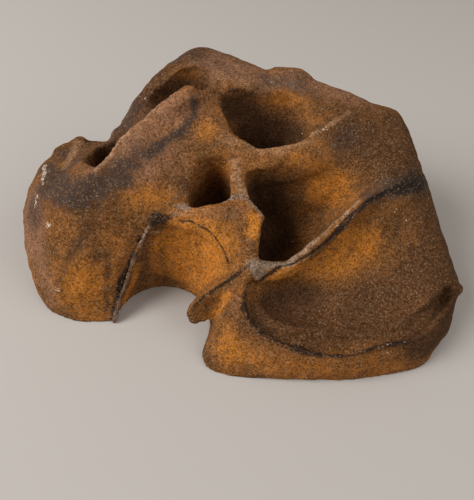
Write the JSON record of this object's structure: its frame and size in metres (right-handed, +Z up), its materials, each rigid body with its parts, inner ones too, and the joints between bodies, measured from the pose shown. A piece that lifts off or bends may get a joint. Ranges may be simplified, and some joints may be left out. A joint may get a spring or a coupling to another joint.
{
  "type": "holey stone",
  "caption": "Natural rust-brown sandstone with deep blind holes, a sharp crest and a scooped flank, lying on a flat foot; a decorative or hiding stone for a garden, shelf or tank.",
  "frame": {"origin": "on the resting plane, under the middle of the stone's box", "axes": "+X along the stone's length towards the scooped flank's end, +Y to its back, +Z up"},
  "size_m": [0.2782, 0.1848, 0.111],
  "materials": {
    "rust_sandstone": "matt, sandy"
  },
  "bodies": {
    "root": {"stone": "rust_sandstone"}
  },
  "joints": []
}
